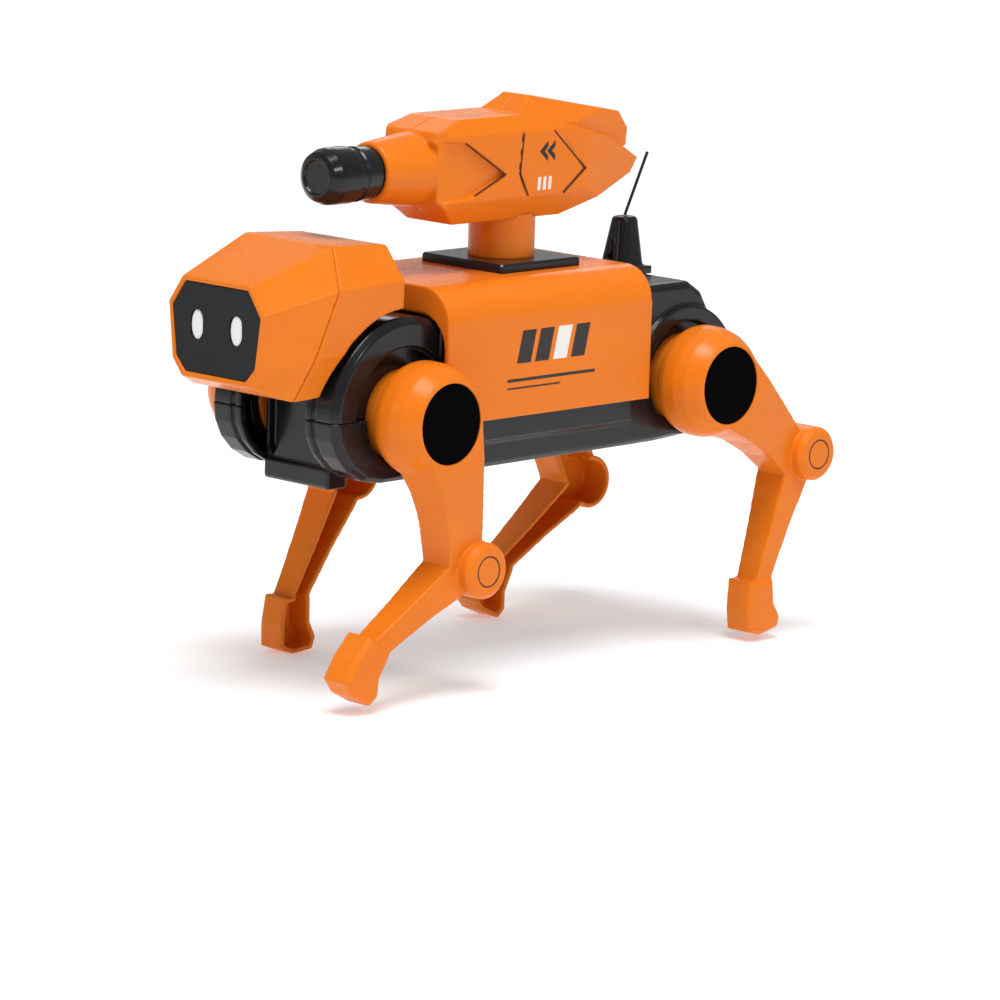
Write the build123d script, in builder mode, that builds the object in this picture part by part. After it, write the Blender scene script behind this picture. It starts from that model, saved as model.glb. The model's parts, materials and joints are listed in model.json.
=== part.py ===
"""Walking robot dog kit: chassis, four swinging legs, head, turret, gearbox and electronics.

Millimetres. +Z is up, the dog looks along -Y and +X is its left side. The origin lies on the
floor, on the dog's middle plane, halfway between the front and the rear hip axes.
"""
import os
from math import acos, cos, pi, radians, sin, sqrt, tan

from build123d import *

os.makedirs("parts", exist_ok=True)

# ---------------------------------------------------------------- driving dimensions
HIP_SPACING = 116.0          # front hip axis to rear hip axis
HIP_Z = 79.6                 # height of the hip axes over the floor
FRONT_Y, REAR_Y = -HIP_SPACING / 2, HIP_SPACING / 2
LEFT_SWING = 19.5            # rest swing of the left legs, front one forward, rear one back
RIGHT_SWING = 13.5           # rest swing of the right legs, front one back, rear one forward
MAX_SWING = 20.5             # full swing either side of the middle

WALL = 2.0                   # chassis wall
GAP = 0.3                    # clearance between pieces that pass each other
RUN = 0.05                   # radial running clearance of pins and journals

# chassis
BELLY_Z = 61.0
CREASE_Z = 69.8
CHASSIS_HALF = 27.0
BELLY_HALF = 18.5
HOOD_HALF = 25.5
HOOD_R = 28.0
UPPER_HALF = 28.4
UPPER_TOP = 112.8
MID_FRONT, MID_REAR = -45.6, 35.4
RECESS_R = 19.5
RECESS_X = 22.5
JOURNAL_R = 13.0
CELL_HALF = 15.6             # battery opening, half width
CHIN_HALF, CHIN_TOP = 13.0, 92.0
RIB_GROOVE, RIB_WIDTH, RIB_DEPTH = 15.4, 1.8, 1.1    # groove round each side of the front hood

# saddle cover
COVER_HALF = 31.0
COVER_TOP = 114.9
COVER_BOTTOM = 76.3
COVER_FRONT, COVER_REAR = -47.8, 36.0
COVER_SHOULDER = 10.4
COVER_WALL = 1.8

# legs, in the leg's own plane: (rearwards, upwards) from the hip axis
HUB_R = 16.5
HUB_IN, HUB_OUT = 27.6, 43.5
CAP_R = 11.4
KNEE = (28.5, -35.8)
KNEE_R = 8.1
LEG_WALL = 1.5
LEVER_R = 9.5
LEVER_PIN_R = 1.4
ROD_IN, ROD_OUT = 15.9, 18.3
FLANGE_IN, FLANGE_OUT = 18.7, 20.2

# drive
CRANK_OFFSET = 3.3
CRANK_PIN_R = 1.5
AXLE_R = 1.5
MODULE = 0.5
SMALL_TEETH, BIG_TEETH = 10, 30
GEAR_DISTANCE = MODULE * (SMALL_TEETH + BIG_TEETH) / 2
PLANE_A, PLANE_B, PLANE_C = 11.4, 9.6, 7.8     # near faces of the three gear planes
GEAR_WIDTH = 1.5
SHAFT_R = 1.0

# batteries, board and screws
CELL_R, CELL_FRONT, CELL_REAR = 7.1, -33.5, 16.0
CELL_X, CELL_Z = 7.4, 70.5
BOARD_Z, BOARD_THICK = 84.0, 1.2
SCREW_R, SCREW_HEAD_R = 1.1, 2.1
SCREW_FRONT, SCREW_REAR = ((10.5, -48.0), (-10.5, -48.0)), ((10.0, 71.5), (-10.0, 71.5))
SCREW_FRONT_SEAT, SCREW_REAR_SEAT, SCREW_END = 62.8, 72.5, 87.0
CASE_FRONT, CASE_REAR, CASE_BOTTOM, CASE_TOP = 19.2, 67.4, 68.4, 90.8
CASE_HALF, CASE_WALL = 14.2, 1.1
TONGUE_Y, TONGUE_Z = -90.0, 98.0

# antenna
ANTENNA_Y = 55.8
HOOD_TOP = 108.0

# turret
TURRET_Y = 4.1
PLATE_SIZE, PLATE_THICK = 33.0, 2.6
PLATE_TOP = COVER_TOP + PLATE_THICK
COLUMN_R = 9.7
COLUMN_TOP = 130.4
BARREL_Z = 144.9
TURRET_HALF = 12.5


def finish(builder, name):
    """Label a finished piece and write it."""
    builder.part.label = name
    export_step(builder.part, f"parts/{name}.step")


def x_plane(x, y=0.0, z=0.0, turn=0.0):
    """Plane facing +X whose first axis runs rearwards, turned about the X direction."""
    angle = radians(turn)
    return Plane(origin=(x, y, z), x_dir=(0, cos(angle), sin(angle)), z_dir=(1, 0, 0))


def y_plane(y):
    """Plane across the dog at y, facing rearwards; its first axis is -X and its second is Z."""
    return Plane(origin=(0, y, 0), x_dir=(-1, 0, 0), z_dir=(0, 1, 0))


def filled(points):
    """Fill a closed outline inside the sketch being drawn."""
    Polygon(*points, align=None)


def swung(angle, point):
    """Where a leg point (rearwards, upwards) stands once the leg has swung by angle."""
    turn = radians(angle)
    return (point[0] * cos(turn) - point[1] * sin(turn), point[0] * sin(turn) + point[1] * cos(turn))


def both_sides(half_outline):
    """Close a half outline, given top to bottom on +X, with its mirror image."""
    return list(half_outline) + [(-x, z) for x, z in reversed(half_outline)]


# ---------------------------------------------------------------- chassis shells
def lower_profile(inset):
    """Side outline of the lower shell, from the split line down."""
    return [(FRONT_Y - HOOD_R + inset, HIP_Z), (FRONT_Y - 27.4 + inset, 74.6 + 0.1 * inset),
            (FRONT_Y - 25.0 + 0.9 * inset, 69.6 + 0.4 * inset),
            (FRONT_Y - 21.0 + 0.7 * inset, 65.4 + 0.7 * inset),
            (FRONT_Y - 15.5 + 0.4 * inset, 62.3 + 0.9 * inset), (FRONT_Y - 8, BELLY_Z + inset),
            (REAR_Y - 12, BELLY_Z + 0.6 + inset), (REAR_Y + 4, 62.6 + inset),
            (REAR_Y + 16 - inset, 69.5 + 0.5 * inset), (REAR_Y + 22.6 - inset, HIP_Z)]


def lower_section(inset):
    """Cross-section of the lower shell between the hips."""
    half = [(CHASSIS_HALF - inset, HIP_Z + 1), (CHASSIS_HALF - inset, CREASE_Z + 0.4 * inset),
            (BELLY_HALF - 0.4 * inset, BELLY_Z + inset)]
    return both_sides(half)


def hip_axes():
    """The four places where a hip axis leaves the chassis: (side, y)."""
    return [(side, y) for side in (1, -1) for y in (FRONT_Y, REAR_Y)]


with BuildPart() as lower_chassis:
    with BuildSketch(x_plane(-HOOD_HALF)):
        with BuildLine():
            Polyline(*lower_profile(0), close=True)
        make_face()
    extrude(amount=2 * HOOD_HALF)
    chamfer(lower_chassis.edges().filter_by(GeomType.LINE).filter_by(
        lambda e: abs(abs(e.center().X) - HOOD_HALF) < 0.1 and e.center().Z < HIP_Z - 1), length=1.6)
    for side in (1, -1):
        with BuildSketch(x_plane(side * RIB_GROOVE)):
            filled(lower_profile(-1))
            Polygon(*lower_profile(RIB_DEPTH), align=None, mode=Mode.SUBTRACT)
            with Locations((FRONT_Y - 4 - 30, HIP_Z)):
                Rectangle(60, 60, mode=Mode.INTERSECT)
        extrude(amount=side * RIB_WIDTH, mode=Mode.SUBTRACT)
    with BuildSketch(y_plane(MID_FRONT + 2)):
        with BuildLine():
            Polyline(*lower_section(0), close=True)
        make_face()
    extrude(amount=MID_REAR - MID_FRONT - 4)
    # hollow, leaving a boss round each hip
    with BuildSketch(x_plane(-HOOD_HALF + WALL)) as hollow_side:
        with BuildLine():
            Polyline(*lower_profile(WALL), close=True)
        make_face()
    extrude(amount=2 * (HOOD_HALF - WALL), mode=Mode.SUBTRACT)
    with BuildSketch(y_plane(MID_FRONT + 4)):
        with BuildLine():
            Polyline(*lower_section(WALL), close=True)
        make_face()
    extrude(amount=MID_REAR - MID_FRONT - 8, mode=Mode.SUBTRACT)
    for side, y in hip_axes():
        with BuildSketch(x_plane(side * (RECESS_X - WALL), y, HIP_Z)):
            Circle(16.8)
        extrude(amount=side * (HOOD_HALF - RECESS_X + WALL - 0.1))
        with BuildSketch(x_plane(side * RECESS_X, y, HIP_Z)):
            Circle(15.2)
        extrude(amount=side * 10, mode=Mode.SUBTRACT)
        with BuildSketch(x_plane(side * 19, y, HIP_Z)):
            Circle(JOURNAL_R + RUN)
        extrude(amount=side * 10, mode=Mode.SUBTRACT)
    # notch in the nose for the chin block
    with Locations((0, FRONT_Y - 26, HIP_Z)):
        Box(2 * CHIN_HALF + 0.4, 2 * (26 - 10.7), 60, mode=Mode.SUBTRACT)
    # battery opening and switch slot in the belly
    with Locations((0, -9, BELLY_Z)):
        Box(2 * CELL_HALF, 50, 3 * WALL, mode=Mode.SUBTRACT)
    with Locations((1.5, -45, BELLY_Z)):
        Box(9, 4, 3 * WALL, mode=Mode.SUBTRACT)
    # posts under the gearbox and for the chassis screws, battery bay walls
    with BuildSketch(Plane.XY.offset(BELLY_Z + 1)):
        with Locations((8, 26), (-8, 26), (8, 46), (-8, 46)):
            Circle(2.5)
    extrude(amount=CASE_BOTTOM - BELLY_Z - 1)
    with BuildSketch(Plane.XY.offset(BELLY_Z + 1)):
        with Locations(*SCREW_FRONT):
            Circle(3.2)
    extrude(amount=HIP_Z - BELLY_Z - 1)
    with BuildSketch(Plane.XY.offset(SCREW_REAR_SEAT - 2)):
        with Locations(*SCREW_REAR):
            Circle(2.8)
    extrude(amount=HIP_Z - SCREW_REAR_SEAT + 2)
    with Locations((0, CELL_FRONT - 1.6, 70.5), (0, CELL_REAR + 1.6, 70.5)):
        Box(30, 1.2, 15.2)
    with BuildSketch(Plane.XY):
        with Locations(*SCREW_FRONT, *SCREW_REAR):
            Circle(SCREW_R + RUN)
    extrude(amount=HIP_Z, mode=Mode.SUBTRACT)
    for spots, seat in ((SCREW_FRONT, SCREW_FRONT_SEAT), (SCREW_REAR, SCREW_REAR_SEAT)):
        with BuildSketch(Plane.XY):
            with Locations(*spots):
                Circle(SCREW_HEAD_R + 0.15)
        extrude(amount=seat, mode=Mode.SUBTRACT)
    # everything over the split line goes
    with Locations((0, 0, HIP_Z + 20)):
        Box(90, 240, 40, mode=Mode.SUBTRACT)
finish(lower_chassis, "lower_chassis")


def rear_hood_profile(inset):
    """Side outline of the rear hood over the split line."""
    return [(MID_REAR - 3, HIP_Z - 1), (MID_REAR - 3, 108 - inset), (REAR_Y + 2, 108 - inset),
            (REAR_Y + 7.5 - 0.6 * inset, 104.6 - 0.8 * inset), (REAR_Y + 20.5 - inset, 84),
            (REAR_Y + 22.6 - inset, HIP_Z - 1)]


def upper_section(inset):
    """Cross-section of the upper shell under the saddle cover."""
    return [(UPPER_HALF - inset, HIP_Z - 1), (UPPER_HALF - inset, UPPER_TOP - 8),
            (UPPER_HALF - 8, UPPER_TOP - inset)]


with BuildPart() as upper_chassis:
    with BuildSketch(x_plane(-HOOD_HALF, FRONT_Y, HIP_Z)):
        Circle(HOOD_R)
    extrude(amount=2 * HOOD_HALF)
    chamfer(upper_chassis.edges().filter_by(GeomType.CIRCLE), length=1.8)
    for side in (1, -1):
        with BuildSketch(x_plane(side * RIB_GROOVE, FRONT_Y, HIP_Z)):
            Circle(HOOD_R + 1)
            Circle(HOOD_R - RIB_DEPTH, mode=Mode.SUBTRACT)
        extrude(amount=side * RIB_WIDTH, mode=Mode.SUBTRACT)
    with BuildSketch(x_plane(-24.0)):
        with BuildLine():
            Polyline(*rear_hood_profile(0), close=True)
        make_face()
    extrude(amount=48.0)
    fillet(upper_chassis.edges().filter_by(
        lambda e: abs(abs(e.center().X) - 24.0) < 0.1 and e.center().Y > MID_REAR
        and e.center().Z > HIP_Z), radius=2.2)
    with BuildSketch(x_plane(-HOOD_HALF, REAR_Y, HIP_Z)):
        Circle(21.5)
    extrude(amount=2 * HOOD_HALF)
    with BuildSketch(y_plane(MID_FRONT)):
        with BuildLine():
            Polyline(*both_sides(upper_section(0)), close=True)
        make_face()
    extrude(amount=MID_REAR - MID_FRONT)
    # hollows
    with BuildSketch(x_plane(-HOOD_HALF + WALL, FRONT_Y, HIP_Z)):
        Circle(HOOD_R - WALL)
    extrude(amount=2 * (HOOD_HALF - WALL), mode=Mode.SUBTRACT)
    with BuildSketch(x_plane(-24.0 + WALL)):
        with BuildLine():
            Polyline(*rear_hood_profile(WALL), close=True)
        make_face()
    extrude(amount=2 * (24.0 - WALL), mode=Mode.SUBTRACT)
    with BuildSketch(y_plane(MID_FRONT + WALL)):
        with BuildLine():
            Polyline(*both_sides(upper_section(WALL)), close=True)
        make_face()
    extrude(amount=MID_REAR - MID_FRONT - 2 * WALL, mode=Mode.SUBTRACT)
    for side, y in hip_axes():
        radius = RECESS_R if y < 0 else 17.0
        with BuildSketch(x_plane(side * (RECESS_X - WALL), y, HIP_Z)):
            Circle(radius + WALL)
        extrude(amount=side * (HOOD_HALF - RECESS_X + WALL - 0.1))
        with BuildSketch(x_plane(side * RECESS_X, y, HIP_Z)):
            Circle(radius)
        extrude(amount=side * 10, mode=Mode.SUBTRACT)
        with BuildSketch(x_plane(side * 19, y, HIP_Z)):
            Circle(JOURNAL_R + RUN)
        extrude(amount=side * 10, mode=Mode.SUBTRACT)
    # opening behind the chin block
    with Locations((0, FRONT_Y - 26, HIP_Z)):
        Box(2 * CHIN_HALF + 0.4, 2 * (26 - 10.7), 2 * (CHIN_TOP + GAP - HIP_Z), mode=Mode.SUBTRACT)
    # screw bosses, board posts and the tongue that holds the head
    for spots, top in ((SCREW_FRONT, 104.5), (SCREW_REAR, 90.0)):
        with BuildSketch(Plane.XY.offset(HIP_Z)):
            with Locations(*spots):
                Circle(2.8)
        extrude(amount=top - HIP_Z)
        with BuildSketch(Plane.XY.offset(HIP_Z)):
            with Locations(*spots):
                Circle(SCREW_R + RUN)
        extrude(amount=SCREW_END - HIP_Z + 0.5, mode=Mode.SUBTRACT)
    with BuildSketch(Plane.XY.offset(BOARD_Z + BOARD_THICK)):
        with Locations((9, -17), (-9, -17), (9, 9), (-9, 9)):
            Circle(1.6)
    extrude(amount=UPPER_TOP - 1 - BOARD_Z - BOARD_THICK)
    with Locations((0, -84.5, TONGUE_Z)):
        Box(12, 17, 3)
    with Locations((0, TONGUE_Y, TONGUE_Z)):
        Cylinder(SCREW_R + RUN, 5, mode=Mode.SUBTRACT)
    with Locations((0, 0, HIP_Z - 20)):
        Box(90, 240, 40, mode=Mode.SUBTRACT)
    with Locations((0, ANTENNA_Y, HOOD_TOP)):
        Cylinder(0.7, 8, mode=Mode.SUBTRACT)
    # the turret's pivot drops through the roof
    with Locations((0, TURRET_Y, UPPER_TOP)):
        Cylinder(3.4, 10, mode=Mode.SUBTRACT)
finish(upper_chassis, "upper_chassis")

with BuildPart() as battery_door:
    with Locations((0, -9, BELLY_Z + 1)):
        Box(2 * (CELL_HALF - GAP), 50 - 2 * GAP, 2)
    chamfer(battery_door.faces().sort_by(Axis.Z)[0].edges(), length=0.5)
    with Locations((0, 12, BELLY_Z)):
        CounterSinkHole(1.2, 2.2, 4)
finish(battery_door, "battery_door")

# ---------------------------------------------------------------- saddle cover
def cover_outline(half, top, bottom, shoulder):
    """Arch-shaped cross-section with round shoulders, drawn on a plane across the dog."""
    with BuildLine() as arch:
        left = Line((half, bottom), (half, top - shoulder))
        corner = RadiusArc(left @ 1, (half - shoulder, top), -shoulder)
        roof = Line(corner @ 1, (-half + shoulder, top))
        other = RadiusArc(roof @ 1, (-half, top - shoulder), -shoulder)
        right = Line(other @ 1, (-half, bottom))
        Line(right @ 1, left @ 0)
    return arch


with BuildPart() as body_cover:
    outer = cover_outline(COVER_HALF, COVER_TOP, COVER_BOTTOM, COVER_SHOULDER)
    with BuildSketch(y_plane(COVER_FRONT)):
        add(outer.line)
        make_face()
    extrude(amount=COVER_REAR - COVER_FRONT)
    inner = cover_outline(COVER_HALF - COVER_WALL, COVER_TOP - COVER_WALL, COVER_BOTTOM - 5,
                          COVER_SHOULDER - COVER_WALL)
    with BuildSketch(y_plane(COVER_FRONT + COVER_WALL)):
        add(inner.line)
        make_face()
    extrude(amount=100, mode=Mode.SUBTRACT)
    mouth = cover_outline(COVER_HALF - COVER_WALL, 106.9, COVER_BOTTOM - 5, 9.5)
    with BuildSketch(y_plane(COVER_FRONT - 5)):
        add(mouth.line)
        make_face()
    extrude(amount=10, mode=Mode.SUBTRACT)
    with BuildSketch(x_plane(-40, FRONT_Y, HIP_Z)):
        Circle(HUB_R + 0.8)
    extrude(amount=80, mode=Mode.SUBTRACT)
    with Locations((0, TURRET_Y, COVER_TOP)):
        Cylinder(3.4, 10, mode=Mode.SUBTRACT)
finish(body_cover, "body_cover")

# ---------------------------------------------------------------- head
FACE_Y = -108.4
SEAM_TOP, SEAM_BOTTOM = (-81.0, 128.3), (-97.3, 86.4)    # (y, z) of the seam between the shells
SEAM_TILT = (SEAM_TOP[0] - SEAM_BOTTOM[0]) / (SEAM_TOP[1] - SEAM_BOTTOM[1])
HEAD_REAR = -59.6
HEAD_WALL = 1.6
ARCH_R = 30.4
FACE_OUTLINE = [(13.6, 118.7), (19.1, 110.9), (17.2, 95.2), (13.2, 90.6)]
SEAM_OUTLINE = [(17.6, 128.3), (25.5, 116.9), (24.0, 98.0), (20.5, 86.4)]
REAR_OUTLINE = [(17.2, 127.1), (25.0, 117.9), (24.6, 100.0), (21.0, 88.0)]


def inset_outline(outline, inset):
    """Pull a head section's half outline in towards the middle plane and its own centre."""
    middle = (outline[0][1] + outline[-1][1]) / 2
    return [(x - inset, z - inset if z > middle else z + inset) for x, z in outline]


def seam_plane(shift=0.0):
    """Plane of the seam, leaning forward at the bottom; z along it is measured down the plane."""
    lean = Vector(0, SEAM_TILT, 1).normalized()
    return Plane(origin=(0, SEAM_TOP[0] + shift, SEAM_TOP[1]), x_dir=(-1, 0, 0),
                 z_dir=Vector(-1, 0, 0).cross(lean))


def on_seam(outline):
    """Put a half outline's heights on the leaning seam plane."""
    stretch = sqrt(1 + SEAM_TILT ** 2)
    return [(x, (z - SEAM_TOP[1]) * stretch) for x, z in outline]


def head_section(plane, outline):
    """One closed loft section of the head."""
    with BuildSketch(plane) as section:
        with BuildLine():
            Polyline(*both_sides(outline), close=True)
        make_face()
    return section.sketch


face_front = head_section(y_plane(FACE_Y), FACE_OUTLINE)
face_inner = head_section(y_plane(FACE_Y + 3.2), inset_outline(FACE_OUTLINE, HEAD_WALL))
seam_outer = head_section(seam_plane(), on_seam(SEAM_OUTLINE))
seam_inner = head_section(seam_plane(), on_seam(inset_outline(SEAM_OUTLINE, HEAD_WALL)))
rear_outer = head_section(y_plane(HEAD_REAR), REAR_OUTLINE)
rear_inner = head_section(y_plane(HEAD_REAR - HEAD_WALL), inset_outline(REAR_OUTLINE, HEAD_WALL))
PANEL_OUTLINE = [(12.7, 117.4), (17.9, 110.2), (16.0, 96.0), (12.2, 92.0)]

with BuildPart() as head_front_shell:
    loft(sections=[face_front, seam_outer], ruled=True)
    loft(sections=[face_inner, seam_inner], ruled=True, mode=Mode.SUBTRACT)
    with BuildSketch(y_plane(FACE_Y - 1)):
        with BuildLine():
            Polyline(*both_sides(PANEL_OUTLINE), close=True)
        make_face()
    extrude(amount=1 + 2.0, mode=Mode.SUBTRACT)
    with BuildSketch(y_plane(FACE_Y)):
        with Locations((0, 104.5)):
            Rectangle(22, 16)
    extrude(amount=8, mode=Mode.SUBTRACT)
    # boss that the head screw bites into
    with BuildSketch(Plane.XY.offset(TONGUE_Z + 1.5)):
        with Locations((0, TONGUE_Y)):
            Circle(3.0)
            Circle(SCREW_R + RUN, mode=Mode.SUBTRACT)
    extrude(amount=24.0)
finish(head_front_shell, "head_front_shell")

with BuildPart() as head_rear_shell:
    loft(sections=[seam_outer, rear_outer], ruled=True)
    loft(sections=[seam_inner, rear_inner], ruled=True, mode=Mode.SUBTRACT)
    with BuildSketch(x_plane(-40, FRONT_Y, HIP_Z)):
        Circle(ARCH_R)
    extrude(amount=80, mode=Mode.SUBTRACT)
    with BuildSketch(seam_plane()):
        Rectangle(120, 160)
    extrude(amount=0.25, both=True, mode=Mode.SUBTRACT)
finish(head_rear_shell, "head_rear_shell")

EYE_X, EYE_Z, EYE_W, EYE_H = 7.9, 105.6, 4.9, 8.4
with BuildPart() as face_panel:
    with BuildSketch(y_plane(FACE_Y + 0.5)):
        with BuildLine():
            Polyline(*both_sides([(x - 0.15, z - 0.15 if z > 104 else z + 0.15)
                                  for x, z in PANEL_OUTLINE]), close=True)
        make_face()
        with Locations((EYE_X, EYE_Z), (-EYE_X, EYE_Z)):
            SlotCenterToCenter(EYE_H - EYE_W, EYE_W, rotation=90, mode=Mode.SUBTRACT)
    extrude(amount=1.5)
finish(face_panel, "face_panel")

with BuildPart() as eye_lenses:
    with BuildSketch(y_plane(FACE_Y + 0.3)):
        with Locations((EYE_X, EYE_Z), (-EYE_X, EYE_Z)):
            SlotCenterToCenter(EYE_H - EYE_W, EYE_W - 0.1, rotation=90)
    extrude(amount=1.7)
finish(eye_lenses, "eye_lenses")

# ---------------------------------------------------------------- chin block and neck tongue
CHIN_FRONT, CHIN_REAR, CHIN_BOTTOM = -75.6, -68.9, 58.4
with BuildPart() as chin_block:
    with BuildSketch(y_plane(CHIN_FRONT)):
        with Locations((0, (CHIN_TOP + CHIN_BOTTOM) / 2)):
            Rectangle(2 * CHIN_HALF, CHIN_TOP - CHIN_BOTTOM)
    extrude(amount=CHIN_REAR - CHIN_FRONT)
    # lower lip, stepped forward
    with BuildSketch(y_plane(CHIN_FRONT - 0.8)):
        with Locations((0, CHIN_BOTTOM + 3.2)):
            Rectangle(2 * CHIN_HALF, 5.6)
    extrude(amount=2)
    chamfer(chin_block.edges().group_by(Axis.Y)[0], length=0.5)
    # two slots with pointed ends in the front
    with BuildSketch(y_plane(CHIN_FRONT - 3)):
        for side in (1, -1):
            filled([(side * 8.6, CHIN_TOP - 3), (side * 12.0, CHIN_TOP - 3), (side * 12.0, 68.0),
                    (side * 10.3, 65.2), (side * 8.6, 68.0)])
    extrude(amount=5.5, mode=Mode.SUBTRACT)
finish(chin_block, "chin_block")

# ---------------------------------------------------------------- legs
# Outlines of a left leg in its middle position, as (rearwards, upwards) from the hip axis.
THIGH_FRONT = [(-8.2, -13.5), (2.4, -20.6), (10.5, -28.8), (17.4, -37.6)]
THIGH_RIDGE = [(-4.6, -11.4), (5.6, -21.6), (12.4, -29.6), (17.4, -37.6)]
THIGH_REAR = [(15.2, 4.6), (19.6, -8.4), (26.7, -25.1), (29.0, -33.0)]
THIGH_REAR_OUT = [(11.0, 5.6), (17.8, -8.6), (25.6, -25.0), (29.0, -33.0)]
SHIN_FRONT = [(16.4, -35.4), (17.4, -37.6), (7.2, -51.2), (-3.6, -64.6)]
SHIN_REAR = [(29.5, -33.5), (28.5, -40.5), (25.4, -44.4), (14.8, -54.2), (3.4, -66.2)]
BOOT_FRONT = [(-5.8, -62.9), (-9.2, -70.8), (-10.6, -77.4)]
BOOT_REAR = [(3.9, -66.0), (2.2, -73.4), (3.4, -78.4)]
SOLE = [(-6.2, -80.38), (1.4, -81.52)]
LIMB_IN, LIMB_OUT, KNEE_OUT = 29.2, 43.3, 40.4
BOOT_BEVEL = 1.2
ANKLE_IN, ANKLE_OUT = 32.4, 39.6
BOOT_IN, BOOT_OUT = 31.3, 41.0
KNEE_FACE, KNEE_BEVEL = 44.9, 1.4
RING_R = 4.35


def left_leg(hip_y, turn):
    """One-piece moulded leg of the left side: hub, thigh, knee, shin and boot."""
    def at(x):
        return x_plane(x, hip_y, HIP_Z, turn)

    thigh_inner = THIGH_FRONT + list(reversed(THIGH_REAR))
    thigh_outer = THIGH_RIDGE + list(reversed(THIGH_REAR_OUT))
    shin = SHIN_FRONT + list(reversed(SHIN_REAR))
    boot = BOOT_FRONT + SOLE + list(reversed(BOOT_REAR))
    thigh_run = Vector(0, *swung(turn, KNEE)).normalized()
    across = thigh_run.cross(Vector(1, 0, 0))
    with BuildPart() as leg:
        # thigh: the front edge leans outwards up to the ridge
        with BuildSketch(at(LIMB_IN)):
            filled(thigh_inner)
        with BuildSketch(at(LIMB_OUT)):
            filled(thigh_outer)
        loft(ruled=True)
        # shin and knee
        with BuildSketch(at(LIMB_IN)):
            filled(shin)
        extrude(amount=KNEE_OUT - LIMB_IN)
        # the outer face falls away from the hub to the knee
        with BuildSketch(Plane(origin=(0, hip_y, HIP_Z), x_dir=thigh_run, z_dir=across)):
            filled([(14, LIMB_OUT + 0.1), (60, LIMB_OUT + 0.1), (60, KNEE_OUT), (44, KNEE_OUT)])
        extrude(amount=40, both=True, mode=Mode.SUBTRACT)
        # the inner face keeps clear of the saddle cover beside the hub
        with BuildSketch(Plane(origin=(0, hip_y, HIP_Z), x_dir=thigh_run, z_dir=across)):
            filled([(-30, LIMB_IN - 1), (-30, COVER_HALF + 0.6), (24, COVER_HALF + 0.6),
                    (42, LIMB_IN), (42, LIMB_IN - 1)])
        extrude(amount=40, both=True, mode=Mode.SUBTRACT)
        # the shin narrows towards the ankle on both faces
        shin_run = Vector(0, *swung(turn, (SHIN_FRONT[-1][0] - SHIN_FRONT[1][0],
                                           SHIN_FRONT[-1][1] - SHIN_FRONT[1][1]))).normalized()
        knee_point = swung(turn, KNEE)
        with BuildSketch(Plane(origin=(0, hip_y + knee_point[0], HIP_Z + knee_point[1]),
                               x_dir=shin_run, z_dir=shin_run.cross(Vector(1, 0, 0)))):
            filled([(9, LIMB_IN), (48, ANKLE_IN), (48, LIMB_IN - 2), (9, LIMB_IN - 2)])
            filled([(12, KNEE_OUT), (48, ANKLE_OUT), (48, KNEE_OUT + 2), (12, KNEE_OUT + 2)])
        extrude(amount=14, both=True, mode=Mode.SUBTRACT)
        # knee disc with its engraved ring
        with BuildSketch(at(LIMB_IN)):
            with Locations(KNEE):
                Circle(KNEE_R)
        extrude(amount=KNEE_OUT - LIMB_IN)
        with BuildSketch(at(KNEE_OUT - LEG_WALL)):
            with Locations(KNEE):
                Circle(KNEE_R)
        extrude(amount=KNEE_FACE - KNEE_BEVEL - KNEE_OUT + LEG_WALL)
        with BuildSketch(at(KNEE_FACE - KNEE_BEVEL)):
            with Locations(KNEE):
                Circle(KNEE_R)
        extrude(amount=KNEE_BEVEL, taper=45)
        with BuildSketch(at(KNEE_FACE)):
            with Locations(KNEE):
                Circle(RING_R)
                Circle(RING_R - 0.4, mode=Mode.SUBTRACT)
        extrude(amount=-0.3, mode=Mode.SUBTRACT)
        # boot, bevelled along its outer face
        with BuildSketch(at(BOOT_IN)):
            filled(boot)
        extrude(amount=BOOT_OUT - BOOT_IN - BOOT_BEVEL)
        with BuildSketch(at(BOOT_OUT - BOOT_BEVEL)):
            filled(boot)
        extrude(amount=BOOT_BEVEL, taper=45)
        # one open channel runs down the inner side from the thigh to the boot
        with BuildSketch(at(LIMB_IN - 1)):
            filled(thigh_outer)
            filled(shin)
            filled(boot)
            with Locations(KNEE):
                Circle(KNEE_R)
            offset(amount=-LEG_WALL, mode=Mode.REPLACE)
            Circle(HUB_R - 2, mode=Mode.SUBTRACT)
        extrude(amount=KNEE_OUT - LIMB_IN + 1 - LEG_WALL, mode=Mode.SUBTRACT)
        # hub dome, turned about the hip axis
        with BuildSketch(Plane(origin=(0, hip_y, HIP_Z), x_dir=(1, 0, 0), z_dir=(0, -1, 0))):
            filled([(FLANGE_IN, 0), (FLANGE_IN, 14.5), (FLANGE_OUT, 14.5), (FLANGE_OUT, JOURNAL_R),
                    (HUB_IN, JOURNAL_R), (HUB_IN, 14.6), (28.8, 15.9), (31.0, HUB_R), (35.0, 16.4),
                    (38.6, 15.5), (41.4, 13.9), (42.9, 12.8), (HUB_OUT, 12.1), (HUB_OUT, 0)])
        revolve(axis=Axis((0, hip_y, HIP_Z), (1, 0, 0)))
        with BuildSketch(at(FLANGE_OUT)):
            Circle(JOURNAL_R - 2.0)
        extrude(amount=39.5 - FLANGE_OUT, mode=Mode.SUBTRACT)
        with BuildSketch(at(FLANGE_IN)):
            Circle(6.3)
            with Locations((0, LEVER_R), (0, -LEVER_R)):
                Circle(LEVER_PIN_R + RUN)
        extrude(amount=FLANGE_OUT - FLANGE_IN, mode=Mode.SUBTRACT)
        with BuildSketch(at(HUB_OUT)):
            Circle(CAP_R + RUN)
        extrude(amount=-2.0, mode=Mode.SUBTRACT)
    return leg.part


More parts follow.
